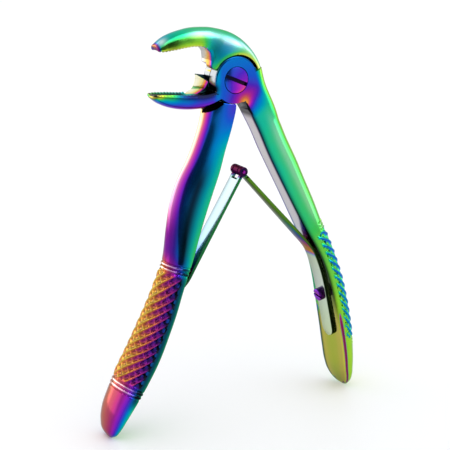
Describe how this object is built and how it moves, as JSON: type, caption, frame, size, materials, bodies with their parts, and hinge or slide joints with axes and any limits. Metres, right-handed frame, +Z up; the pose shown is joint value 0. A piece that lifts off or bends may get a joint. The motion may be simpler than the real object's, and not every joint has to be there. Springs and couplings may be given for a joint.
{
  "type": "extraction forceps",
  "caption": "Hand forceps for drawing small teeth: two crossed levers on a screwed lap joint, curved hollow beaks, knurled handles and a double leaf spring.",
  "frame": {"origin": "centre of the bounding box's base, on the surface that the open handle ends stand on", "axes": "+Z up; the pivot's axis lies along Y; the beaks point to -X; the screw's slotted head faces -Y"},
  "size_m": [0.0896, 0.0142, 0.1231],
  "materials": {
    "upper_lever": "mirror polish under a rainbow oxide film: green and cyan at the beak, blue and magenta down the handle",
    "lower_lever": "mirror polish under a rainbow oxide film: blue at the joint, teal and lime down the handle",
    "pivot_screw": "polished, violet oxide film",
    "left_leaf": "polished, pale cyan to violet oxide film",
    "right_leaf": "polished, olive to violet oxide film",
    "small_screws": "polished, purple oxide film"
  },
  "bodies": {
    "upper_lever": {"upper_beak_lever": "upper_lever", "pivot_screw": "pivot_screw", "left_spring_foot": "left_leaf", "left_spring_screw": "small_screws"},
    "lower_lever": {"lower_beak_lever": "lower_lever", "right_spring_foot": "right_leaf", "right_spring_screw": "small_screws"},
    "left_leaf": {"left_spring_blade": "left_leaf", "spring_hinge_pin": "small_screws"},
    "right_leaf": {"right_spring_blade": "right_leaf"}
  },
  "joints": [
    {"name": "main_pivot", "type": "hinge", "parent": "upper_lever", "child": "lower_lever", "pos_m": [-0.00078, 0, 0.1069], "axis": [0, 1, 0], "range_deg": [0, 24], "stiffness_Nm_per_rad": 0.6, "springref_deg": -14.32},
    {"name": "left_leaf_flex", "type": "hinge", "parent": "upper_lever", "child": "left_leaf", "pos_m": [-0.01922, 0, 0.04545], "axis": [0, 1, 0], "range_deg": [-9, 0]},
    {"name": "right_leaf_flex", "type": "hinge", "parent": "lower_lever", "child": "right_leaf", "pos_m": [0.02807, 0, 0.04956], "axis": [0, 1, 0], "range_deg": [0, 11]}
  ],
  "couplings": [
    {"joint": "left_leaf_flex", "follows": "main_pivot", "ratio": -0.3618},
    {"joint": "right_leaf_flex", "follows": "main_pivot", "ratio": 0.448}
  ]
}
